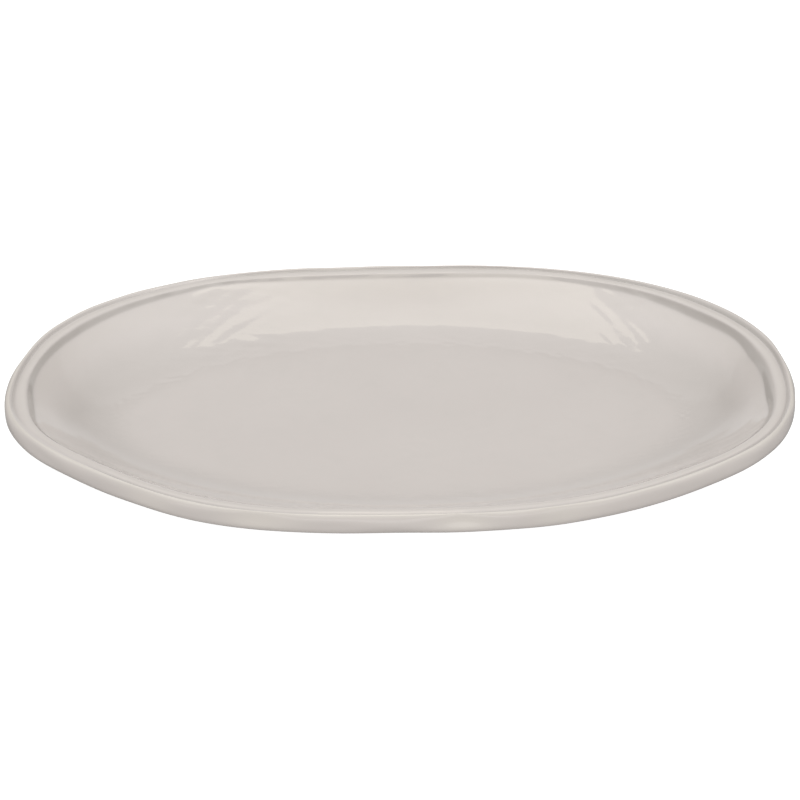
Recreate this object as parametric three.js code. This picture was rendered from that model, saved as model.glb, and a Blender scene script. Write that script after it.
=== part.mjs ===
import * as THREE from 'three';

// Oval serving platter. A fired clay body has a flat floor, a sloping wall and a thick rolled rim
// with two ridges. A foot ring is luted under the edge of its floor. Glaze covers both, except for
// the bare bottom of the foot. Millimetres, +Z up: the foot stands on z = 0, and the outline is
// centred on the Z axis. "Inset" is the distance inwards from the outermost edge of the rim.

// Outline: an ellipse, pushed in and out by hand forming.
const HALF_LENGTH = 235;
const HALF_WIDTH = 163.2;
const EDGE_WAVES = [
  { count: 3, swing: 1.8, crest: 32 },
  { count: 4, swing: 3.3, crest: 45.6 },
  { count: 5, swing: 1.3, crest: -23 },
  { count: 6, swing: 0.5, crest: 6 },
  { count: 7, swing: 0.9, crest: -15.5 },
  { count: 8, swing: 0.9, crest: 19 },
];
const SEGMENTS = 72;

// The rim carries the whole wave down to the first inset, and it fades out to the second.
const WAVE_WHOLE = 11;
const WAVE_GONE = 48.5;

// Heights above the table.
const RIM_HEIGHT = 33;
const FLOOR_HEIGHT = 8.8;
const BASE_HEIGHT = 3.4;
const GLAZE_END_HEIGHT = 1.2;

// The wall from the floor's edge out to the rim, as inset and rise above the floor. It is steepest
// under the rim and curves softly into the floor.
const WALL = [
  [71, 0],
  [65, 0.3],
  [58, 1.35],
  [52, 2.6],
  [47, 4.15],
  [35, 9.05],
  [24, 14.7],
];

// Insets of the underside's bends, the base and the foot.
const UNDERSIDE_BENDS = [21, 35, 47, 52];
const BASE_EDGE = 58;
const FOOT_OUTSIDE = 70;
const FOOT_INSIDE = 78;

// The foot ring's sides lean by FOOT_LEAN over their height, and its bottom edges are eased.
const FOOT_LEAN = 0.6;
const FOOT_EASE = 0.7;

// Thicknesses.
const WALL_THICKNESS = 7;
const LIP_DEPTH = 12.3;
const GLAZE = 0.5;
const GAP = 0.3;
const CLAY_DEPTH = GLAZE + GAP;

// Glaze surface of the rim, from the wall's top to under the lip, as inset and depth below the
// rim's highest point: step, inner ridge, groove, outer ridge, lip.
const RIM = [
  [13.6, 3],
  [11.8, 1.3],
  [10.2, 0.9],
  [7.4, 0.8],
  [5.6, 1.5],
  [3.2, 0],
  [1.5, 0.8],
  [0.3, 2.6],
  [0, 5],
  [0.9, 9.8],
  [4, LIP_DEPTH],
  [9, 11.9],
];

// Both as inset and height. The wall runs straight from one point to the next and on to the rim.
const RIM_SURFACE = RIM.map(([inset, depth]) => [inset, RIM_HEIGHT - depth]);
const WALL_SURFACE = [...WALL.map(([inset, rise]) => [inset, FLOOR_HEIGHT + rise]), RIM_SURFACE[0]];

function wallHeight(inset) {
  const next = WALL_SURFACE.findIndex(([edge]) => edge <= inset);
  const [innerInset, innerHeight] = WALL_SURFACE[next - 1];
  const [outerInset, outerHeight] = WALL_SURFACE[next];
  return THREE.MathUtils.mapLinear(inset, innerInset, outerInset, innerHeight, outerHeight);
}

function edgeWave(turn) {
  let wave = 0;
  for (const { count, swing, crest } of EDGE_WAVES) {
    wave += swing * Math.cos(count * (turn - THREE.MathUtils.degToRad(crest)));
  }
  return wave;
}

function waveShare(inset) {
  return 1 - THREE.MathUtils.smoothstep(inset, WAVE_WHOLE, WAVE_GONE);
}

// A point of the platter, from its turn round the outline, its inset and its height.
function place(turn, inset, height) {
  const cos = Math.cos(turn);
  const sin = Math.sin(turn);
  const out = new THREE.Vector2(cos / HALF_LENGTH, sin / HALF_WIDTH).normalize();
  const reach = edgeWave(turn) * waveShare(inset) - inset;
  return new THREE.Vector3(HALF_LENGTH * cos + out.x * reach, HALF_WIDTH * sin + out.y * reach, height);
}

// The glaze surface over the whole platter down to the foot's outer side, from the floor outwards,
// over the lip and back in along the underside.
function coatSurface() {
  const underside = UNDERSIDE_BENDS.map((inset) => [inset, wallHeight(inset) - WALL_THICKNESS]);
  const foot = [
    [BASE_EDGE, BASE_HEIGHT],
    [FOOT_OUTSIDE - FOOT_LEAN, BASE_HEIGHT],
    [FOOT_OUTSIDE, GLAZE_END_HEIGHT],
  ];
  return [...WALL_SURFACE.slice(0, -1), ...RIM_SURFACE, ...underside, ...foot];
}

// The same surface moved into the material by a depth, with each corner mitred.
function sunk(points, depth) {
  return points.map(([inset, height], i) => {
    const before = points[Math.max(i - 1, 0)];
    const after = points[Math.min(i + 1, points.length - 1)];
    const here = [inset, height];
    const first = i === 0 ? [0, 1] : leftOf(before, here);
    const last = i === points.length - 1 ? first : leftOf(here, after);
    const along = 1 + first[0] * last[0] + first[1] * last[1];
    return [inset - (depth * (first[0] + last[0])) / along, height - (depth * (first[1] + last[1])) / along];
  });
}

// The unit normal that points out of the material, on a step from one section point to the next.
function leftOf([inset, height], [nextInset, nextHeight]) {
  const along = nextInset - inset;
  const up = nextHeight - height;
  const length = Math.hypot(along, up);
  return [up / length, -along / length];
}

// A closed body from a section. Each section point becomes a ring round the outline. A section that
// isn't a loop closes with a fan to the axis at its first and its last point's height. A section
// that doubles back does so at the point numbered turnAt. Its way back splits its faces along the
// other diagonal, so that both sides of a thin skin are creased alike.
function sweep(section, { isLoop = false, turnAt = section.length } = {}) {
  const positions = [];
  const indices = [];
  for (const [inset, height] of section) {
    for (let k = 0; k < SEGMENTS; k += 1) {
      positions.push(...place((2 * Math.PI * k) / SEGMENTS, inset, height).toArray());
    }
  }
  const vertex = (ring, k) => (ring % section.length) * SEGMENTS + (k % SEGMENTS);
  const bands = isLoop ? section.length : section.length - 1;
  for (let ring = 0; ring < bands; ring += 1) {
    for (let k = 0; k < SEGMENTS; k += 1) {
      const corners = [vertex(ring, k), vertex(ring + 1, k), vertex(ring + 1, k + 1), vertex(ring, k + 1)];
      const [a, b, c, d] = ring < turnAt ? corners : [...corners.slice(1), corners[0]];
      indices.push(a, b, c);
      indices.push(a, c, d);
    }
  }
  if (!isLoop) {
    const start = positions.length / 3;
    const last = section.length - 1;
    positions.push(0, 0, section[0][1]);
    positions.push(0, 0, section[last][1]);
    for (let k = 0; k < SEGMENTS; k += 1) {
      indices.push(start, vertex(0, k), vertex(0, k + 1));
      indices.push(start + 1, vertex(last, k + 1), vertex(last, k));
    }
  }
  const geometry = new THREE.BufferGeometry();
  geometry.setAttribute('position', new THREE.Float32BufferAttribute(positions, 3));
  geometry.setIndex(indices);
  geometry.computeVertexNormals();
  return geometry;
}

function glazeCoat() {
  const surface = coatSurface();
  const inner = sunk(surface, GLAZE);
  inner[inner.length - 1][1] = GLAZE_END_HEIGHT;
  return sweep([...surface, ...inner.reverse()], { turnAt: surface.length });
}

// The clay under the glaze. Its underside runs flat across the foot ring, which is joined to it.
function clayBody() {
  const covered = sunk(coatSurface(), CLAY_DEPTH);
  const shell = covered.slice(0, -2);
  return sweep([...shell, [FOOT_INSIDE, BASE_HEIGHT + CLAY_DEPTH]]);
}

// The ring stands on a flat bottom with rounded edges, and narrows a little downwards.
function footRing() {
  const top = BASE_HEIGHT + GLAZE;
  const outside = FOOT_OUTSIDE + CLAY_DEPTH;
  const inside = FOOT_INSIDE - CLAY_DEPTH;
  const section = [
    [outside - FOOT_LEAN, top],
    [outside, GLAZE_END_HEIGHT],
    [outside + FOOT_EASE, 0],
    [inside - FOOT_EASE, 0],
    [inside, GLAZE_END_HEIGHT],
    [inside + FOOT_LEAN, top],
  ];
  return sweep(section, { isLoop: true });
}

function glazeBase() {
  const section = [
    [FOOT_INSIDE + FOOT_LEAN - GLAZE, BASE_HEIGHT + GLAZE],
    [FOOT_INSIDE - GLAZE, GLAZE_END_HEIGHT],
    [FOOT_INSIDE, GLAZE_END_HEIGHT],
    [FOOT_INSIDE + FOOT_LEAN, BASE_HEIGHT],
  ];
  return sweep(section);
}

const FIRED_CLAY = { color: 0xc9b394, roughness: 0.85, metalness: 0 };
const FOOT_CLAY = { color: 0xc2aa8a, roughness: 0.9, metalness: 0 };
const GREIGE_GLAZE = { color: 0xcfc9c3, roughness: 0.15, metalness: 0 };

function piece(name, geometry, look) {
  const mesh = new THREE.Mesh(geometry, new THREE.MeshStandardMaterial(look));
  mesh.name = name;
  return mesh;
}

const platter = new THREE.Group();
platter.add(piece('clay_body', clayBody(), FIRED_CLAY));
platter.add(piece('foot_ring', footRing(), FOOT_CLAY));
platter.add(piece('glaze_coat', glazeCoat(), GREIGE_GLAZE));
platter.add(piece('glaze_base', glazeBase(), GREIGE_GLAZE));

const centre = new THREE.Box3().setFromObject(platter).getCenter(new THREE.Vector3());
platter.position.set(-centre.x, -centre.y, 0);

export default platter;
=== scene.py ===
"""An oval serving platter in hand-formed stoneware with a pale grey-beige glaze.

Every surface is swept round one wavering oval. A section point is an inset, the distance inwards
from the rim's outermost edge, and a height above the table, both in millimetres. A turn is an
angle round the oval: 0 is the right end, 90 degrees the far side. Meshes are in metres.
"""

import math

import bpy
import numpy as np
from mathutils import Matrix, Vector


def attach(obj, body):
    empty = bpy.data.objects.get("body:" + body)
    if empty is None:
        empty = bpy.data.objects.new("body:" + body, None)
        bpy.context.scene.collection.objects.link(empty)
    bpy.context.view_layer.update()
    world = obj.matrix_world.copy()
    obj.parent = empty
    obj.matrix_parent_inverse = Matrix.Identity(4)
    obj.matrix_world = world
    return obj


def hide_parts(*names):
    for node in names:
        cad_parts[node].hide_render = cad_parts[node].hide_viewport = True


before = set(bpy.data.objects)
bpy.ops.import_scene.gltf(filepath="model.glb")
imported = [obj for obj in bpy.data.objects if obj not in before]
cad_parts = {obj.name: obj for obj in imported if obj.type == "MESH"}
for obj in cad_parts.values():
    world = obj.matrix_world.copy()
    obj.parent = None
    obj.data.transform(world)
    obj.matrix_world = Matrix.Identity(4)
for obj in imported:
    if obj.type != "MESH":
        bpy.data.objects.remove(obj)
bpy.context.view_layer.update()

MM = 0.001

# ---- the platter's measures ----

# The outline: an ellipse, pushed in and out by hand forming. Each wave is its count round the
# outline, its swing in millimetres and the turn of one crest in degrees.
HALF_LENGTH = 235.0
HALF_WIDTH = 163.2
EDGE_WAVES = ((3, 1.8, 32), (4, 3.3, 45.6), (5, 1.3, -23), (6, 0.5, 6), (7, 0.9, -15.5), (8, 0.9, 19))
CAD_TURNS = 72

# The rim carries the whole wave, and it fades out down the wall.
WAVE_WHOLE, WAVE_GONE = 11.0, 48.5

# The wall's slope in degrees at a few insets, from its top to the floor.
WALL_SLOPES = (
    (13.5, 32.8), (20, 31.6), (27, 28.8), (35, 23.9), (43, 21.9), (47, 19.6), (52, 14.1), (58, 10),
    (63, 8), (67, 4), (71, 0),
)
WALL_TOP, FLOOR_EDGE = WALL_SLOPES[0][0], WALL_SLOPES[-1][0]
SLOPE_STEP = 0.1

# The section's control points on the wall run from this far inside the floor's edge to this inset.
WALL_POINTS = 22
FLOOR_MARGIN = 9
WALL_POINTS_END = 16.4

# Insets of the foot, heights above the table and thicknesses. The clay lies CLAY_DEPTH below the
# glaze's surface.
FOOT_OUTSIDE, FOOT_INSIDE = 70.0, 78.0
FLOOR_HEIGHT, BASE_HEIGHT, GLAZE_END_HEIGHT = 8.8, 3.4, 1.2
WALL_THICKNESS = 7.0
GLAZE, CLAY_DEPTH = 0.5, 0.8

# Columns of a surface round the oval, and rows between two control points where it can be seen.
TURNS = 540
STEPS = 2

# The rim's section as control points of a smooth curve, from the wall over the lip to the
# underside. Each is an inset and a height, how far it follows the wander of the outer groove, the
# inner ridge and the step under that ridge, how far it rises where the outer groove fades out, and
# how much darker the glaze is drawn there, as pooled glaze and painted shade in the grooves and the
# step; below 0 it is drawn lighter, as thin glaze and a painted highlight on the crests.
RIM = (
    (15.0, 29.0, 0, 0, 1, 0, 0),
    (14.2, 29.5, 0, 0, 1, 0, 0.3),
    (13.7, 29.85, 0, 0, 1, 0, 0.7),
    (13.2, 30.3, 0, 0, 1, 0, 0.7),
    (12.6, 30.85, 0, 0.1, 0.8, 0, 0.7),
    (12.0, 31.4, 0, 0.3, 0.6, 0, 0.7),
    (11.6, 31.75, 0, 0.5, 0.45, 0, 0.4),
    (11.2, 31.95, 0, 0.7, 0.3, 0, 0.1),
    (10.4, 32.1, 0, 0.9, 0.1, 0, -0.3),
    (9.2, 32.25, 0, 1, 0, 0, -0.2),
    (8.0, 32.25, 0, 1, 0, 0, -0.2),
    (7.0, 32.1, 0.3, 0.7, 0, 0.2, -0.3),
    (6.3, 31.85, 0.8, 0.2, 0, 0.4, 0.3),
    (5.9, 31.6, 1, 0, 0, 0.7, 0.8),
    (5.4, 31.5, 1, 0, 0, 0.9, 1),
    (4.9, 31.75, 1, 0, 0, 0.8, 0.9),
    (4.4, 32.2, 0.8, 0, 0, 0.5, 0.5),
    (3.9, 32.6, 0.6, 0, 0, 0.2, 0.1),
    (3.4, 32.8, 0.55, 0, 0, 0, -0.6),
    (2.7, 32.85, 0.3, 0, 0, 0, -0.8),
    (1.8, 32.4, 0.1, 0, 0, 0, -0.5),
    (0.8, 31.3, 0, 0, 0, 0, 0),
    (0.35, 29.7, 0, 0, 0, 0, 0),
    (0.25, 28.0, 0, 0, 0, 0, 0),
    (0.35, 26.3, 0, 0, 0, 0, 0),
    (0.5, 24.6, 0, 0, 0, 0, 0),
    (1.0, 22.9, 0, 0, 0, 0, 0),
    (1.9, 21.5, 0, 0, 0, 0, 0),
    (3.3, 20.75, 0, 0, 0, 0, 0),
    (5.2, 20.7, 0, 0, 0, 0, 0),
    (7.6, 20.85, 0, 0, 0, 0, 0),
    (11.0, 20.75, 0, 0, 0, 0, 0),
    (15.5, 20.1, 0, 0, 0, 0, 0),
)

# Everything below here that varies round the oval is a sum of smooth bumps: the turn and half
# width of each in degrees, and its height. A wander is in millimetres inwards.
OUTER_GROOVE_WANDER = (
    (30, 14, 1.6), (75, 14, -1.6), (110, 12, -0.6), (200, 14, 0.4), (262, 18, -0.5), (318, 12, 0.5),
)
INNER_RIDGE_WANDER = (
    (32, 17, 2.8), (71, 9, -1.2), (118, 8, -1.2), (148, 15, 0.8), (188, 9, 2.2), (240, 14, -0.6),
    (290, 15, 0.5),
)
STEP_WANDER = (
    (-6, 9, 4.2), (4, 6, 1.7), (14, 8, 3.8), (34, 14, 4.2), (71, 9, -1.2), (118, 8, -2.4),
    (150, 15, 2.0), (187, 10, 4.0), (225, 14, 0.7), (300, 15, -0.6),
)

# A step that wanders inwards goes down the wall by the first share of that, and one that wanders
# outwards comes up it by the second.
STEP_SINKS, STEP_RISES = 0.62, 0.4

# Where the outer groove fades out, 1 or more being quite gone, and dips in millimetres in the crest,
# which reach down the rim from the second height to the first.
OUTER_GROOVE_FADES = ((124, 8, 1.0), (203, 11, 1.0), (217, 6, 0.6))
CREST_DIPS = (
    (20, 9, -0.2), (58, 12, -0.25), (99, 8, -0.2), (140, 14, -0.15), (188, 9, -0.3), (236, 11, -0.2),
    (281, 9, -0.15), (330, 10, -0.25),
)
CREST_DIP_HEIGHTS = 27.0, 32.0

# Where the lip's outer side was pressed flatter, in millimetres. The flats come in from the first
# inset and height to the second.
LIP_FLATS = (
    (205, 7, 0.6), (228, 6, 0.7), (249, 5, 1.3), (263, 4, 0.2), (277, 3.5, 1.5), (290, 4.5, 1.2),
    (303, 4, 0.5), (322, 6, 0.6), (341, 5, 0.8), (352, 4, 0.5), (12, 6, 0.7), (160, 8, 0.6),
)
LIP_FLAT_INSETS, LIP_FLAT_HEIGHTS = (3.0, 0.5), (23.5, 29.5)

# Painted highlights on the lip's outer side, lighter patches at a few turns, and where the outer
# groove is drawn darker, as more pooled glaze and painted shade.
LIP_PAINTED_HIGHLIGHTS = ((249, 5, -0.5), (277, 4, -0.6), (291, 5, -0.4), (232, 4, -0.3))
LIP_HIGHLIGHT_HEIGHTS = 24.0, 31.0
# Pooled glaze and painted shade in the outer groove, strongest on the far side.
OUTER_GROOVE_POOL_AND_SHADE = ((28, 14, 0.7), (52, 12, 0.5), (100, 15, 0.15), (8, 8, 0.3))
OUTER_GROOVE_INSETS, OUTER_GROOVE_LOWEST = (3.0, 6.0), 31

# How much the wall is drawn darker, as pooled glaze and painted shade; how much painted shade
# darkens the crease round the floor at the ends; and how much more painted shade than elsewhere
# darkens the rim's step at the ends. The step is all of the rim past STEP_INSET.
WALL_POOL_AND_SHADE, CREASE_PAINTED_SHADE, STEP_PAINTED_SHADE_AT_ENDS = 0.22, 0.33, 0.6
STEP_INSET = 8

# The wall's darkening grows from the floor to the first inset, and then thins from the second to
# the third, by WALL_THINS of itself, so that the wall is drawn lighter near its top. Up the wall
# the crease's painted shade fades from one inset to the next.
WALL_DARKENING_INSETS = 50.0, 45.0, 18.0
WALL_THINS = 1.6
CREASE_FADES = 45.0, 22.0

# Insets at which the underside bends, one wall thickness below the wall. Then, as inset and height,
# it runs over the base and down the foot's outer side.
UNDERSIDE_BENDS = (21.0, 26.0, 31.0, 36.0, 41.0, 45.0)
BASE_AND_FOOT = (
    (49.5, 5.05), (54.0, 3.8), (59.0, 3.42), (63.5, BASE_HEIGHT), (67.0, BASE_HEIGHT), (68.9, 3.3),
    (69.5, 2.8), (69.7, 2.3), (69.9, 1.8), (FOOT_OUTSIDE, GLAZE_END_HEIGHT),
)

# The clay's curved underside ends this far above its flat base, in millimetres.
NEAR_BASE = 0.3

# One side of the foot ring from its top to its bottom, as insets into the ring and heights. Random
# waves lift its bottom off the table by up to WOBBLE_MOST, and move only points below WOBBLE_BELOW.
FOOT_TOP = BASE_HEIGHT + GLAZE
FOOT_SIDE = (
    (-0.5, FOOT_TOP), (-0.3, 3.1), (-0.1, 2.2), (0.0, 1.5), (0.05, 0.8), (0.3, 0.25), (0.9, 0.0), (2.2, 0.0),
)
WOBBLE = (12, (4, 40), (10, 20), 0.03)
WOBBLE_MOST, WOBBLE_BELOW = 0.12, 1.0
WOBBLE_SEED = 3

# The glaze inside the foot, from the foot's inner side: its lower surface inwards, and its upper one
# back out.
BASE_GLAZE_BELOW = (
    (0.0, GLAZE_END_HEIGHT), (0.15, 1.9), (0.35, 2.5), (0.9, 3.1), (2.2, 3.35), (4.5, BASE_HEIGHT),
)
BASE_GLAZE_ABOVE = (
    (3.0, FOOT_TOP), (0.1, FOOT_TOP), (-0.2, 2.7), (-0.4, 1.9), (-GLAZE, GLAZE_END_HEIGHT + 0.15),
)

# Rings on the flat floor, as shares of its edge's size, and their rough run in millimetres.
FLOOR_SHARES = (0.05, 0.2, 0.4, 0.6, 0.78, 0.92)
FLOOR_RUN = 110.0

# The hidden inner skin of the glaze keeps every eighth row, and every second one under the rim.
SKIN_ROWS, RIM_SKIN_ROWS = 8, 2
RIM_FIRST_ROW, RIM_LAST_ROW = 45, 119


# ---- the section round the oval ----


def wrapped(turn, degrees):
    """The distance in degrees from a turn in radians to a turn in degrees, -180 to 180."""
    return (np.degrees(turn) - degrees + 180.0) % 360.0 - 180.0


def bumps(turn, places):
    """Smooth bumps at a few turns: (degrees, half width in degrees, height) each."""
    return sum(height * np.exp(-((wrapped(turn, at) / width) ** 2)) for at, width, height in places)


def smoothstep(x, low, high):
    """0 at low and 1 at high, easing between them. High may be the smaller of the two."""
    share = np.clip((x - low) / (high - low), 0.0, 1.0)
    return share * share * (3.0 - 2.0 * share)


def window(x, low, high, ease):
    """1 between low and high, easing to 0 outside."""
    return smoothstep(x, low - ease, low) * (1.0 - smoothstep(x, high, high + ease))


def place(turn, inset, height):
    """Points in millimetres from turns, insets and heights of one shape."""
    out_x, out_y = np.cos(turn) / HALF_LENGTH, np.sin(turn) / HALF_WIDTH
    length = np.hypot(out_x, out_y)
    wave = sum(swing * np.cos(count * (turn - math.radians(crest))) for count, swing, crest in EDGE_WAVES)
    reach = wave * (1.0 - smoothstep(inset, WAVE_WHOLE, WAVE_GONE)) - inset
    x = HALF_LENGTH * np.cos(turn) + out_x / length * reach
    y = HALF_WIDTH * np.sin(turn) + out_y / length * reach
    return np.stack([x, y, height + 0.0 * x], axis=-1)


def outline_centre():
    """The middle of the bare outline, which the CAD model puts on the Z axis."""
    ring = place(np.linspace(0, 2 * math.pi, CAD_TURNS, endpoint=False), np.zeros(CAD_TURNS), 0.0)
    return (ring.min(axis=0) + ring.max(axis=0)) / 2


CENTRE = outline_centre()


def wall_height(inset):
    """The height of the wall's top surface, added up from its slopes."""
    insets, slopes = np.array(WALL_SLOPES, float).T
    fine = np.arange(FLOOR_EDGE, WALL_TOP - SLOPE_STEP / 2, -SLOPE_STEP)
    rises = SLOPE_STEP * np.tan(np.radians(np.interp(fine - SLOPE_STEP / 2, insets, slopes)))
    heights = FLOOR_HEIGHT + np.concatenate([[0.0], np.cumsum(rises)[:-1]])
    return np.interp(-inset, -fine, heights)


def spline(points, steps):
    """A uniform cubic B-spline along the second last axis, with its ends held."""
    padded = np.concatenate([points[..., :1, :]] * 2 + [points] + [points[..., -1:, :]] * 2, axis=-2)
    t = (np.arange(steps) / steps)[:, None]
    blend = [(1 - t) ** 3, 3 * t**3 - 6 * t**2 + 4, -3 * t**3 + 3 * t**2 + 3 * t + 1, t**3]
    weights = np.concatenate(blend, axis=1) / 6
    spans = padded.shape[-2] - 3
    pieces = [weights @ padded[..., i : i + 4, :] for i in range(spans)]
    return np.concatenate(pieces, axis=-2)


def ends_share(turn):
    """1 at the oval's two ends, falling to 0 in the middle of its long sides."""
    return np.abs(np.cos(turn))[:, None] ** 1.5


def rim_section(turn):
    """The rim's control points at each turn, and how far in the step has wandered there."""
    rim = np.array(RIM, float)
    plain_inset, plain_height, _, _, follows_step, fills, plain_pool_and_light = rim.T
    wanders = OUTER_GROOVE_WANDER, INNER_RIDGE_WANDER, STEP_WANDER
    wander = np.stack([bumps(turn, places) for places in wanders], axis=-1)
    step = wander[:, 2]
    faded = np.minimum(bumps(turn, OUTER_GROOVE_FADES), 1.0)[:, None]

    height = plain_height + faded * fills
    height = height - np.where(step > 0, STEP_SINKS, STEP_RISES)[:, None] * step[:, None] * follows_step**2
    height = height + bumps(turn, CREST_DIPS)[:, None] * smoothstep(plain_height, *CREST_DIP_HEIGHTS)
    outside = smoothstep(plain_inset, *LIP_FLAT_INSETS) * smoothstep(plain_height, *LIP_FLAT_HEIGHTS)
    inset = plain_inset + wander @ rim[:, 2:5].T + bumps(turn, LIP_FLATS)[:, None] * outside

    # Painted shade: the step is drawn darker still at the oval's ends.
    at_ends = 1.0 + STEP_PAINTED_SHADE_AT_ENDS * ends_share(turn) * (plain_inset > STEP_INSET)
    pool_and_light = plain_pool_and_light * np.where(plain_pool_and_light > 0, at_ends, 1.0)
    pool_and_light = pool_and_light * (1.0 - faded * (fills > 0))
    # Painted highlights: patches of the lip's outer side drawn lighter.
    pool_and_light = pool_and_light + bumps(turn, LIP_PAINTED_HIGHLIGHTS)[:, None] * window(plain_height, *LIP_HIGHLIGHT_HEIGHTS, 1.0)
    in_groove = window(plain_inset, *OUTER_GROOVE_INSETS, 1.0)
    # More pooled glaze and painted shade darken the outer groove.
    groove_pool_and_shade = bumps(turn, OUTER_GROOVE_POOL_AND_SHADE)[:, None] * in_groove
    pool_and_light = pool_and_light + groove_pool_and_shade * (plain_height > OUTER_GROOVE_LOWEST)
    return np.stack([inset, height, pool_and_light], axis=-1), step


def wall_section(turn, step):
    """The wall's control points at each turn, from just inside the floor's edge."""
    share = np.linspace(0.0, 1.0, WALL_POINTS)
    inset = (FLOOR_EDGE + FLOOR_MARGIN) * (1 - share) + (WALL_POINTS_END + step[:, None]) * share
    full, thinning, thinned = WALL_DARKENING_INSETS
    # Pooled glaze and painted shade: the wall is drawn darker low down and lighter near its top.
    pool_and_light = WALL_POOL_AND_SHADE * smoothstep(inset, FLOOR_EDGE + FLOOR_MARGIN, full)
    pool_and_light = pool_and_light * (1.0 - WALL_THINS * smoothstep(inset, thinning, thinned))
    crease = smoothstep(inset, FLOOR_EDGE + FLOOR_MARGIN, FLOOR_EDGE - FLOOR_MARGIN)
    crease_fades_from, crease_gone = CREASE_FADES
    crease = crease * smoothstep(inset, crease_gone, crease_fades_from)
    # Painted shade in the crease round the floor at the oval's ends.
    pool_and_light = pool_and_light + CREASE_PAINTED_SHADE * crease * ends_share(turn)
    return np.stack([inset, wall_height(inset), pool_and_light], axis=-1)


def coat_section(turn):
    """The glaze surface's section at each turn: floor edge, wall, rim, lip, underside and foot.
    Each point is an inset, a height and how much darker the glaze is drawn there, as pooled glaze
    and painted shade; below 0 it is drawn lighter, as thin glaze and painted highlights."""
    rim, step = rim_section(turn)
    wall = wall_section(turn, step)
    below = [(inset, wall_height(inset) - WALL_THICKNESS) for inset in UNDERSIDE_BENDS] + [*BASE_AND_FOOT]
    below = np.array([(inset, height, 0.0) for inset, height in below])
    below = np.broadcast_to(below, (len(turn), *below.shape))
    section = spline(np.concatenate([wall, rim, below], axis=1), STEPS)
    shown = STEPS * (wall.shape[1] + rim.shape[1])
    rows = [*range(shown), *range(shown, section.shape[1], STEPS)]
    return section[:, rows]


# ---- the hand-worked relief ----

# Random waves, drawn in this order: how many, the range of their counts round the oval, the range
# of their pitches along the section, and their swing, both in millimetres.
RELIEF = {
    "swell": (10, (3, 9), (60, 120), 0.04),
    "strokes": (40, (20, 60), (7, 15), 0.04),
    "scratches": (60, (50, 110), (5, 10), 0.03),
    "crease": (40, (35, 80), (4.5, 9), 0.045),
    "rim marks": (24, (9, 40), (14, 40), 0.06),
    "lip marks": (20, (8, 30), (9, 20), 0.12),
}
RELIEF_SEED = 7

# Where the wall was stroked most, and its share of the strokes everywhere else.
STROKE_PATCHES = (
    (122, 11, 1.1), (48, 9, 0.9), (150, 12, 0.3), (205, 16, 0.3), (335, 14, 0.6), (20, 10, 0.25),
)
STROKED_ANYWHERE = 0.15

# The insets of the lip's top and of its bottom.
LIP_TOP, LIP_BOTTOM = 3.0, 4.0


def waves(turn, run, rng, modes, counts, pitches, swing):
    """A gentle random relief: waves with a count round the oval and a pitch along the section."""
    total = np.zeros(np.broadcast(turn, run).shape)
    for _ in range(modes):
        count = int(rng.integers(*counts))
        pitch = rng.uniform(*pitches) * (1 if rng.random() < 0.5 else -1)
        phase = rng.uniform(0, 2 * math.pi)
        total += np.cos(count * turn + 2 * math.pi * run / pitch + phase)
    return total / math.sqrt(modes / 2) * swing


def relief(turn, run, marks):
    """The relief in millimetres, out of the surface. marks are the runs of the floor's edge, the
    wall's top, the lip's top and its bottom, and each kind of wave keeps to its own stretch."""
    rng = np.random.default_rng(RELIEF_SEED)
    drawn = {name: waves(turn, run, rng, *settings) for name, settings in RELIEF.items()}
    floor_edge, wall_top, lip_top, lip_bottom = marks
    stroked = STROKED_ANYWHERE + bumps(turn, STROKE_PATCHES)
    on_wall = window(run, floor_edge + 12, wall_top - 1, 8)
    total = drawn["swell"] * window(run, floor_edge + 4, lip_top, 12)
    total = total + (drawn["strokes"] + drawn["scratches"]) * stroked * on_wall
    total = total + drawn["crease"] * window(run, floor_edge + 0.5, floor_edge + 7, 4)
    total = total + drawn["rim marks"] * window(run, wall_top + 2, lip_top, 5)
    return total + drawn["lip marks"] * window(run, lip_top + 3, lip_bottom - 2, 4)


def grid_normals(rings):
    """Unit normals of a swept grid, out of the ware."""
    along = np.gradient(rings, axis=0)
    around = np.roll(rings, -1, axis=1) - np.roll(rings, 1, axis=1)
    normals = np.cross(along, around)
    return normals / np.maximum(np.linalg.norm(normals, axis=-1, keepdims=True), 1e-9)


def glaze_surface(turn):
    """Rings of the glaze's outer surface in millimetres, from the floor's edge out over the rim and
    under to the foot, with each ring's run along the section and how much darker its glaze is drawn
    there, as pooled glaze and painted shade, below 0 lighter, as thin glaze and painted highlights."""
    section = coat_section(turn)
    inset, height, pool_and_light = section.transpose(2, 1, 0)
    section = section[..., :2]
    rings = place(turn[None, :], inset, height) - CENTRE

    steps = np.linalg.norm(np.diff(section, axis=1), axis=-1).mean(axis=0)
    run = np.concatenate([[0.0], np.cumsum(steps)])
    mean_inset = section.mean(axis=0)[:, 0]
    outermost = int(np.argmin(np.abs(mean_inset)))

    def nearest(target, first, last):
        return run[first + int(np.argmin(np.abs(mean_inset[first:last] - target)))]

    marks = [nearest(target, 0, outermost) for target in (FLOOR_EDGE, WALL_TOP, LIP_TOP)]
    marks.append(nearest(LIP_BOTTOM, outermost, len(run)))
    rings = rings + grid_normals(rings) * relief(turn[None, :], run[:, None], marks)[..., None]
    return rings, run, pool_and_light


# ---- meshes ----


def floor_rings(edge):
    """Rings from the middle out to, and not including, a given ring: the same oval, made smaller."""
    middle = edge.mean(axis=0)
    return np.stack([middle + (edge - middle) * share for share in FLOOR_SHARES])


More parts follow.
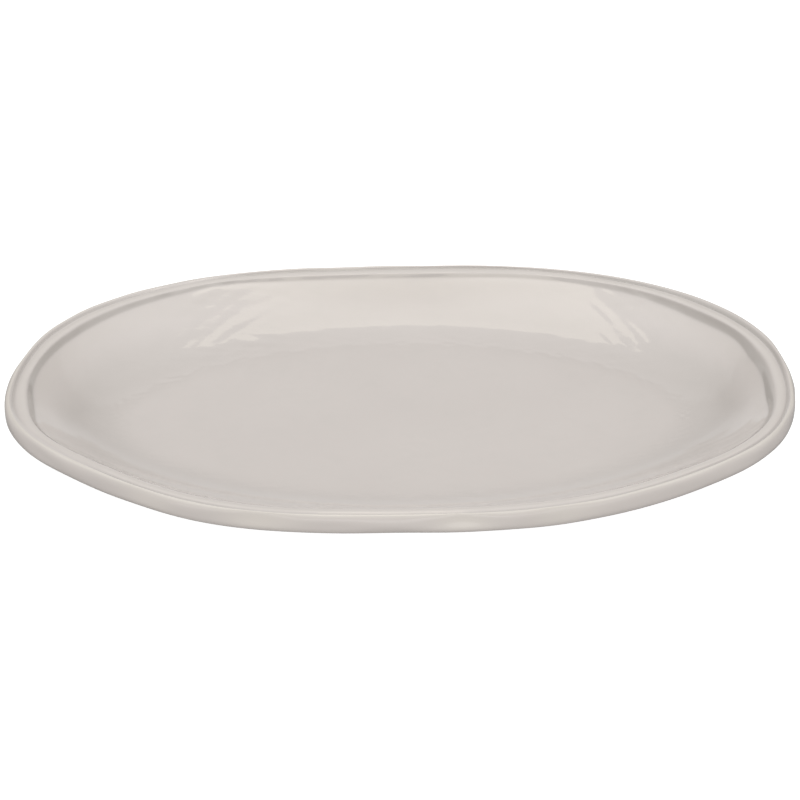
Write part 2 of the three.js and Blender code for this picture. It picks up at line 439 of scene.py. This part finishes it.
def mesh_object(name, points, faces, attributes=()):
    mesh = bpy.data.meshes.new(name)
    mesh.from_pydata((points * MM).tolist(), [], faces)
    for key, values in attributes:
        layer = mesh.attributes.new(key, "FLOAT", "POINT")
        layer.data.foreach_set("value", np.asarray(values, np.float32).ravel())
    mesh.validate()
    mesh.shade_smooth()
    piece = bpy.data.objects.new(name, mesh)
    bpy.context.scene.collection.objects.link(piece)
    return piece


def band_faces(rings, columns, loop=False):
    """Quads between neighbouring rings, facing out when the rings run outwards over the top."""
    faces = []
    for ring in range(rings if loop else rings - 1):
        here, there = ring * columns, (ring + 1) % rings * columns
        for k in range(columns):
            beside = (k + 1) % columns
            faces.append((here + k, there + k, there + beside, here + beside))
    return faces


def capped(rings):
    """The points and faces of a stack of rings closed by a fan at its first and its last ring."""
    count, columns = rings.shape[:2]
    points = rings.reshape(-1, 3)
    ends = np.stack([rings[0].mean(axis=0), rings[-1].mean(axis=0)])
    faces = band_faces(count, columns)
    start, last = len(points), (count - 1) * columns
    for k in range(columns):
        beside = (k + 1) % columns
        faces.append((start, k, beside))
        faces.append((start + 1, last + beside, last + k))
    return np.concatenate([points, ends]), faces


def skin_rows(count):
    """The rows of the outer surface that the glaze's inner skin keeps, from the foot back in."""
    rows = {count - 1, *range(0, count, SKIN_ROWS)}
    rows.update(row for row in range(RIM_FIRST_ROW, RIM_LAST_ROW + 1) if row % RIM_SKIN_ROWS == 0)
    return sorted(rows, reverse=True)


def glaze_coat(rings, run, pool_and_light):
    """The glaze from the middle of the floor over the rim to the foot. Each point keeps its run and
    how much darker its glaze is drawn, as pooled glaze and painted shade, below 0 lighter, as thin
    glaze and painted highlights."""
    outer = np.concatenate([floor_rings(rings[0]), rings])
    run = np.concatenate([(np.array(FLOOR_SHARES) - 1.0) * FLOOR_RUN, run])
    pool_and_light = np.concatenate([np.repeat(pool_and_light[:1], len(FLOOR_SHARES), axis=0), pool_and_light])
    skin = outer - grid_normals(outer) * GLAZE
    skin[-1, :, 2] = outer[-1, :, 2]
    keep = skin_rows(len(outer))
    points, faces = capped(np.concatenate([outer, skin[keep]]))
    runs = np.concatenate([np.repeat(np.concatenate([run, run[keep]]), TURNS), [run[0]] * 2])
    pools_and_light = np.concatenate([np.concatenate([pool_and_light, pool_and_light[keep]]).ravel(), [0.0] * 2])
    return mesh_object("platter_glaze", points, faces, (("run", runs), ("pool_and_light", pools_and_light)))


def clay_body(turn, rings):
    """The clay under the glaze, on every second row and column. It runs flat across the foot."""
    outer = np.concatenate([floor_rings(rings[0]), rings])
    sunk = outer - grid_normals(outer) * CLAY_DEPTH
    half = len(outer) // 2
    base = half + int(np.argmax(sunk[half:, 0, 2] < BASE_HEIGHT + CLAY_DEPTH + NEAR_BASE))
    shell = sunk[:base:2, ::2]
    across_foot = [(FOOT_OUTSIDE, BASE_HEIGHT + CLAY_DEPTH), (FOOT_INSIDE, BASE_HEIGHT + CLAY_DEPTH)]
    points, faces = capped(np.concatenate([shell, swept(turn[::2], across_foot)]))
    return mesh_object("platter_clay", points, faces)


def swept(turn, section):
    """Rings of one section that is the same all the way round."""
    section = np.array(section, float)
    return place(turn[None, :], section[:, :1] + 0.0 * turn[None, :], section[:, 1:]) - CENTRE


def foot_ring(turn):
    outside, inside = FOOT_OUTSIDE + CLAY_DEPTH, FOOT_INSIDE - CLAY_DEPTH
    corners = [(outside + inset, height) for inset, height in FOOT_SIDE]
    corners += [(inside - inset, height) for inset, height in reversed(FOOT_SIDE)]
    rings = swept(turn, corners)
    wobble = waves(turn, np.zeros(1), np.random.default_rng(WOBBLE_SEED), *WOBBLE)
    low = rings[1:-1, :, 2] < WOBBLE_BELOW
    rings[1:-1, :, 2] += np.clip(wobble, 0.0, WOBBLE_MOST)[None, :] * low
    return mesh_object("platter_foot", rings.reshape(-1, 3), band_faces(len(corners), len(turn), loop=True))


def glaze_base(turn):
    lower = swept(turn, [(FOOT_INSIDE + inset, height) for inset, height in BASE_GLAZE_BELOW])
    upper = swept(turn, [(FOOT_INSIDE + inset, height) for inset, height in BASE_GLAZE_ABOVE])
    rings = [floor_rings(upper[0]), upper, lower, floor_rings(lower[-1])[::-1]]
    points, faces = capped(np.concatenate(rings))
    return mesh_object("platter_base_glaze", points, faces)


# ---- materials ----

WHITE = (1.0, 1.0, 1.0, 1.0)


class Nodes:
    """A short way to add nodes to a material or world and link them. An input is named, or
    numbered as i0, i1 and so on, and its value is a number, a colour or another node's output."""

    def __init__(self, tree):
        self.tree = tree
        tree.nodes.clear()

    def add(self, kind, settings=None, **inputs):
        node = self.tree.nodes.new(kind)
        for key, value in (settings or {}).items():
            setattr(node, key, value)
        for key, value in inputs.items():
            self.set(node, key.replace("_", " "), value)
        return node

    def set(self, node, key, value):
        socket = node.inputs[int(key[1:])] if key[1:].isdigit() and key[0] == "i" else node.inputs[key]
        if isinstance(value, bpy.types.NodeSocket):
            self.tree.links.new(value, socket)
        else:
            socket.default_value = value

    def math(self, operation, a, b=0.0, c=0.0):
        return self.add("ShaderNodeMath", {"operation": operation}, i0=a, i1=b, i2=c).outputs[0]

    def product(self, first, *rest):
        for factor in rest:
            first = self.math("MULTIPLY", first, factor)
        return first

    def mix(self, share, a, b):
        return self.add("ShaderNodeMix", {"data_type": "RGBA"}, i0=share, i6=a, i7=b).outputs[2]

    def remap(self, value, low, high, to_low=0.0, to_high=1.0):
        node = self.add("ShaderNodeMapRange", None, i0=value, i1=low, i2=high, i3=to_low, i4=to_high)
        return node.outputs[0]

    def noise(self, vector, scale, detail=2.0, roughness=0.5):
        inputs = {"Vector": vector, "Scale": scale, "Detail": detail, "Roughness": roughness}
        return self.add("ShaderNodeTexNoise", None, **inputs).outputs["Fac"]

    def bump(self, height):
        """A normal from a height in millimetres."""
        return self.add("ShaderNodeBump", None, Strength=1.0, Distance=MM, Height=height).outputs[0]


def shade(level_r, level_g, level_b):
    """A linear colour from sRGB levels of 0 to 255."""
    linear = [((v / 255 + 0.055) / 1.055) ** 2.4 for v in (level_r, level_g, level_b)]
    return (*linear, 1.0)


# The glaze's own colour, its clouds and mottling, its darker colour for pooled glaze and painted
# shade, and its lighter colour for thin glaze and painted highlights.
GLAZE_MAIN = shade(201, 194, 189)
GLAZE_LIGHT = shade(203, 196, 191)
GLAZE_COOL = shade(197, 191, 186)
GLAZE_POOLED_AND_SHADED = shade(162, 157, 151)
GLAZE_THIN_AND_LIT = shade(212, 206, 197)
GLAZE_ROUGHNESS = 0.035, 0.065

# The two clays, each with the colour of its grog, the dark specks in it.
BODY_CLAY, BODY_GROG = shade(201, 179, 148), shade(120, 96, 72)
FOOT_CLAY, FOOT_GROG = shade(194, 170, 138), shade(112, 88, 66)
CLAY_SHADED = 0.9
CLAY_ROUGHNESS = 0.78, 0.95
IOR = 1.5

# Levels of the noise between which one look turns into the next, and how far it goes. The last two
# are the levels at which the colour is wholly the darker one, for pooled glaze and painted shade,
# and wholly the lighter one, for thin glaze and painted highlights.
CLOUD_LEVELS, MOTTLE_LEVELS, GLOSS_LEVELS = (0.35, 0.65), (0.45, 0.75, 0.0, 0.35), (0.3, 0.7)
CLAY_CLOUD_LEVELS, SPECK_LEVELS, GRAIN_LEVELS = (0.3, 0.7), (0.66, 0.7), (0.3, 0.7)
FULLY_POOLED_AND_SHADED, FULLY_THIN_AND_LIT = 2.0, -1.0

# Scales of the noise, per metre: larger is finer.
CLOUD_SCALE, MOTTLE_SCALE, GLOSS_SCALE, DIMPLE_SCALE = 14.0, 60.0, 35.0, 420.0
CLAY_CLOUD_SCALE, SPECK_SCALE, GRAIN_SCALE = 25.0, 600.0, 900.0

# Depths of the bumps in millimetres. The ripples are RIPPLE_SCALE fine along and across the
# platter and RIPPLE_RUN_SCALE fine per millimetre up the wall. From their share on the floor they
# grow to the whole over the first millimetres of the wall.
DIMPLE_DEPTH, RIPPLE_DEPTH, GRAIN_DEPTH = 0.0035, 0.04, 0.12
RIPPLE_SCALE, RIPPLE_RUN_SCALE = 55.0, 0.2
RIPPLES_ON_FLOOR, RIPPLES_ON_WALL, RIPPLES_GROW_OVER = 0.02, 0.9, 12.0


def new_material(name):
    """A bare material, with its nodes, its Principled shader and the object's own coordinates."""
    material = bpy.data.materials.new(name)
    material.use_nodes = True
    n = Nodes(material.node_tree)
    position = n.add("ShaderNodeTexCoord").outputs["Object"]
    bsdf = n.add("ShaderNodeBsdfPrincipled", None, IOR=IOR)
    n.set(n.add("ShaderNodeOutputMaterial"), "Surface", bsdf.outputs[0])
    return material, n, position, bsdf


def glaze_material(name, has_run):
    """Glossy glaze. has_run says that the mesh keeps each point's run and how much its colour is
    darkened, for pooled glaze and painted shade, and lightened, for thin glaze and painted highlights.
    """
    material, n, position, bsdf = new_material(name)
    clouds = n.noise(position, CLOUD_SCALE, 3.0)
    mottle = n.noise(position, MOTTLE_SCALE, 3.0, 0.6)
    colour = n.mix(n.remap(clouds, *CLOUD_LEVELS), GLAZE_MAIN, GLAZE_LIGHT)
    colour = n.mix(n.remap(mottle, *MOTTLE_LEVELS), colour, GLAZE_COOL)
    height = n.product(n.noise(position, DIMPLE_SCALE, 1.0), DIMPLE_DEPTH)
    if has_run:
        pool_and_light = n.add("ShaderNodeAttribute", {"attribute_name": "pool_and_light"}).outputs["Fac"]
        run = n.add("ShaderNodeAttribute", {"attribute_name": "run"}).outputs["Fac"]
        # Darker for pooled glaze and painted shade, lighter for thin glaze and painted highlights.
        colour = n.mix(n.remap(pool_and_light, 0.0, FULLY_POOLED_AND_SHADED), colour, GLAZE_POOLED_AND_SHADED)
        colour = n.mix(n.remap(pool_and_light, 0.0, FULLY_THIN_AND_LIT), colour, GLAZE_THIN_AND_LIT)
        height = n.math("ADD", height, ripple_height(n, position, run))
    n.set(bsdf, "Base Color", colour)
    n.set(bsdf, "Roughness", n.remap(n.noise(position, GLOSS_SCALE), *GLOSS_LEVELS, *GLAZE_ROUGHNESS))
    n.set(bsdf, "Normal", n.bump(height))
    return material


def ripple_height(n, position, run):
    """Fine ripples drawn out round the oval, in millimetres: strongest on the wall."""
    x_y_z = n.add("ShaderNodeSeparateXYZ", None, i0=position)
    fine = n.add(
        "ShaderNodeCombineXYZ", None,
        X=n.product(x_y_z.outputs[0], RIPPLE_SCALE),
        Y=n.product(x_y_z.outputs[1], RIPPLE_SCALE),
        Z=n.product(run, RIPPLE_RUN_SCALE),
    )
    ripple = n.product(n.noise(fine.outputs[0], 1.0), RIPPLE_DEPTH)
    on_wall = n.remap(run, 0.0, RIPPLES_GROW_OVER)
    return n.product(ripple, n.math("MULTIPLY_ADD", on_wall, RIPPLES_ON_WALL, RIPPLES_ON_FLOOR))


def clay_material(name, tone, grog):
    material, n, position, bsdf = new_material(name)
    clouds = n.noise(position, CLAY_CLOUD_SCALE, 3.0)
    grain = n.noise(position, GRAIN_SCALE, 3.0, 0.7)
    specks = n.noise(position, SPECK_SCALE, 1.0)
    darker = (*(level * CLAY_SHADED for level in tone[:3]), 1.0)
    colour = n.mix(n.remap(clouds, *CLAY_CLOUD_LEVELS), tone, darker)
    colour = n.mix(n.remap(specks, *SPECK_LEVELS), colour, grog)
    n.set(bsdf, "Base Color", colour)
    n.set(bsdf, "Roughness", n.remap(grain, *GRAIN_LEVELS, *CLAY_ROUGHNESS))
    n.set(bsdf, "Normal", n.bump(n.product(grain, GRAIN_DEPTH)))
    return material


# ---- the pieces ----

TURN = np.linspace(0, 2 * math.pi, TURNS, endpoint=False)
RINGS, RUN, POOL_AND_LIGHT = glaze_surface(TURN)
PIECES = (
    (glaze_coat(RINGS, RUN, POOL_AND_LIGHT), "glaze_coat", "greige_glaze", glaze_material("greige_glaze", True)),
    (clay_body(TURN, RINGS), "clay_body", "fired_clay", clay_material("fired_clay", BODY_CLAY, BODY_GROG)),
    (foot_ring(TURN), "foot_ring", "foot_clay", clay_material("foot_clay", FOOT_CLAY, FOOT_GROG)),
    (glaze_base(TURN), "glaze_base", "base_glaze", glaze_material("base_glaze", False)),
)
for piece, node, slot, material in PIECES:
    piece.data.materials.append(material)
    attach(piece, "root")
    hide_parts(node)


# ---- floor, lights and camera ----

FLOOR_SIZE = 12.0
FLOOR_GREY = (0.4, 0.4, 0.4, 1.0)
FLOOR_GLOW = 0.9


def white_floor():
    """A pale floor that lights nothing, so that the platter's underside stays in shade."""
    half = FLOOR_SIZE / 2
    corners = [(-half, -half, 0.0), (half, -half, 0.0), (half, half, 0.0), (-half, half, 0.0)]
    mesh = bpy.data.meshes.new("floor")
    mesh.from_pydata(corners, [], [(0, 1, 2, 3)])
    floor = bpy.data.objects.new("floor", mesh)
    bpy.context.scene.collection.objects.link(floor)
    material = bpy.data.materials.new("floor_white")
    material.use_nodes = True
    n = Nodes(material.node_tree)
    diffuse = n.add("ShaderNodeBsdfDiffuse", None, Color=FLOOR_GREY)
    glow = n.add("ShaderNodeEmission", None, Color=WHITE, Strength=FLOOR_GLOW)
    both = n.add("ShaderNodeAddShader", None, i0=diffuse.outputs[0], i1=glow.outputs[0])
    n.set(n.add("ShaderNodeOutputMaterial"), "Surface", both.outputs[0])
    mesh.materials.append(material)
    floor.visible_diffuse = False
    floor.visible_glossy = False


# What the glaze mirrors in the studio: levels by the height of a direction, from 0 at the horizon
# to 1 overhead. MIRRORED_TOP is the highest level.
MIRRORED = (
    (0.0, 0.75), (0.17, 0.7), (0.3, 0.5), (0.525, 0.58), (0.55, 0.9), (0.66, 0.95), (0.77, 1.35),
    (0.87, 1.9), (1.0, 2.2),
)
MIRRORED_TOP = 2.2

# Shares of that, each as two places and the share at each. A place is 0 at the horizon and 1
# overhead, or below 0 towards the camera and above it away, or 1 at the platter's ends.
MIRRORED_BY_SIDE = (-0.5, 0.15, 0.45, 1.0)
MIRRORED_BELOW = (-0.8, -0.45, 0.1, 1.0)
MIRRORED_TABLE = (-0.15, 0.0, 1.5, 1.0)
MIRRORED_LOW_ENDS, LOW_TO_HIGH = (0.22, 0.4, 1.0, 0.15), (0.1, 0.2)
MIRRORED_MIDDLE_ENDS = (0.05, 0.28, 1.0, 0.3)
MIDDLE_FROM, MIDDLE_TO = (0.2, 0.38), (0.48, 0.68, 1.0, 0.0)

# A low window behind the camera: its level and its edges.
WINDOW_LEVEL = 1.0
WINDOW_NEAR, WINDOW_FROM, WINDOW_TO = (-0.5, -0.6), (-0.12, 0.0), (0.35, 0.45, 1.0, 0.0)

# The soft light from the horizon to overhead, then its shares in the same way: straight below, off
# the table and from the ends. More comes from low down on the camera's side.
SOFT = (0.0, 1.0, 0.465, 1.3)
SOFT_BELOW = (-0.9, -0.4, 0.12, 1.0)
SOFT_TABLE = (-0.1, 0.1, 1.45, 1.0)
SOFT_ENDS = (0.3, 0.95, 1.0, 1.2)
SOFT_FRONT, FRONT_TO = (-0.2, -0.9, 0.0, 1.0), (0.05, 0.5, 1.0, 0.0)


def mirrored_light(n, side_y, up, aside):
    ramp = n.add("ShaderNodeValToRGB", None, Fac=up)
    stops = ramp.color_ramp.elements
    while len(stops) < len(MIRRORED):
        stops.new(0.5)
    for stop, (height, level) in zip(stops, MIRRORED):
        stop.position = height
        stop.color = (level / MIRRORED_TOP,) * 3 + (1.0,)
    mirrored = n.product(
        ramp.outputs[0],
        MIRRORED_TOP,
        n.remap(side_y, *MIRRORED_BY_SIDE),
        n.remap(up, *MIRRORED_BELOW),
        n.remap(up, *MIRRORED_TABLE),
    )
    is_near = n.remap(side_y, *WINDOW_NEAR)
    in_window = n.product(is_near, n.remap(up, *WINDOW_FROM), n.remap(up, *WINDOW_TO))
    mirrored = n.math("MULTIPLY_ADD", in_window, WINDOW_LEVEL, mirrored)
    low = n.mix(n.remap(up, *LOW_TO_HIGH), n.remap(aside, *MIRRORED_LOW_ENDS), WHITE)
    is_middle = n.product(n.remap(up, *MIDDLE_FROM), n.remap(up, *MIDDLE_TO))
    middle = n.mix(is_middle, WHITE, n.remap(aside, *MIRRORED_MIDDLE_ENDS))
    return n.product(mirrored, low, middle)


def soft_light(n, side_y, up, aside):
    front = n.product(n.remap(side_y, *SOFT_FRONT), n.remap(up, *FRONT_TO))
    return n.product(
        n.remap(up, *SOFT),
        n.remap(up, *SOFT_BELOW),
        n.remap(up, *SOFT_TABLE),
        n.math("ADD", front, 1.0),
        n.remap(aside, *SOFT_ENDS),
    )


def studio_world():
    """A white studio: it lights the ware softly, and the gloss mirrors its own version of it."""
    world = bpy.data.worlds.new("studio")
    bpy.context.scene.world = world
    world.use_nodes = True
    n = Nodes(world.node_tree)
    direction = n.add("ShaderNodeTexCoord").outputs["Generated"]
    side_x, side_y, up = n.add("ShaderNodeSeparateXYZ", None, i0=direction).outputs
    aside = n.math("ABSOLUTE", side_x)
    path = n.add("ShaderNodeLightPath")
    seen = n.mix(path.outputs["Is Camera Ray"], soft_light(n, side_y, up, aside), WHITE)
    light = n.mix(path.outputs["Is Glossy Ray"], seen, mirrored_light(n, side_y, up, aside))
    background = n.add("ShaderNodeBackground", None, Color=light, Strength=1.0)
    n.set(n.add("ShaderNodeOutputWorld"), "Surface", background.outputs[0])


# The overhead softbox, which the far wall mirrors: its height over the table, and its edges in
# shares of that height to the camera's right and away from the camera.
SOFTBOX_HEIGHT = 1.2
SOFTBOX_LEFT, SOFTBOX_RIGHT = -0.109, 0.091
SOFTBOX_NEAR, SOFTBOX_FAR = -0.244, 0.694
SOFTBOX_TINT = (1.0, 0.93, 0.75)
SOFTBOX_RADIANCE = 1.4

CAMERA_LENS = 168.4
CAMERA_DISTANCE = 2.2
CAMERA_HEIGHT_ANGLE = math.radians(28.0)
CAMERA_TURN = math.radians(-1.84)
CAMERA_AIM = Vector((0.00114, 0.00211, 0.020))
CAMERA_SIDESTEP = -0.00132
CAMERA_REACH = 30.0

RIGHT = Vector((math.cos(CAMERA_TURN), math.sin(CAMERA_TURN), 0.0))
AWAY = Vector((-math.sin(CAMERA_TURN), math.cos(CAMERA_TURN), 0.0))


def softbox():
    light = bpy.data.lights.new("softbox", "AREA")
    light.shape = "RECTANGLE"
    light.color = SOFTBOX_TINT
    light.size = (SOFTBOX_RIGHT - SOFTBOX_LEFT) * SOFTBOX_HEIGHT
    light.size_y = (SOFTBOX_FAR - SOFTBOX_NEAR) * SOFTBOX_HEIGHT
    light.energy = SOFTBOX_RADIANCE * math.pi * light.size * light.size_y
    lamp = bpy.data.objects.new("softbox", light)
    bpy.context.scene.collection.objects.link(lamp)
    middle = RIGHT * (SOFTBOX_LEFT + SOFTBOX_RIGHT) / 2 + AWAY * (SOFTBOX_NEAR + SOFTBOX_FAR) / 2
    origin = Vector((CAMERA_AIM.x, CAMERA_AIM.y, 0.0))
    lamp.location = origin + middle * SOFTBOX_HEIGHT + Vector((0.0, 0.0, SOFTBOX_HEIGHT))
    lamp.rotation_euler = (0.0, 0.0, CAMERA_TURN)
    lamp.visible_diffuse = False
    lamp.visible_camera = False


def camera():
    data = bpy.data.cameras.new("camera")
    data.lens = CAMERA_LENS
    data.clip_end = CAMERA_REACH
    eye = bpy.data.objects.new("camera", data)
    bpy.context.scene.collection.objects.link(eye)
    back = AWAY * -math.cos(CAMERA_HEIGHT_ANGLE) + Vector((0.0, 0.0, math.sin(CAMERA_HEIGHT_ANGLE)))
    aim = CAMERA_AIM + RIGHT * CAMERA_SIDESTEP
    eye.location = aim + back * CAMERA_DISTANCE
    eye.rotation_euler = back.to_track_quat("Z", "Y").to_euler()
    bpy.context.scene.camera = eye


white_floor()
studio_world()
softbox()
camera()
bpy.context.scene.view_settings.view_transform = "Standard"
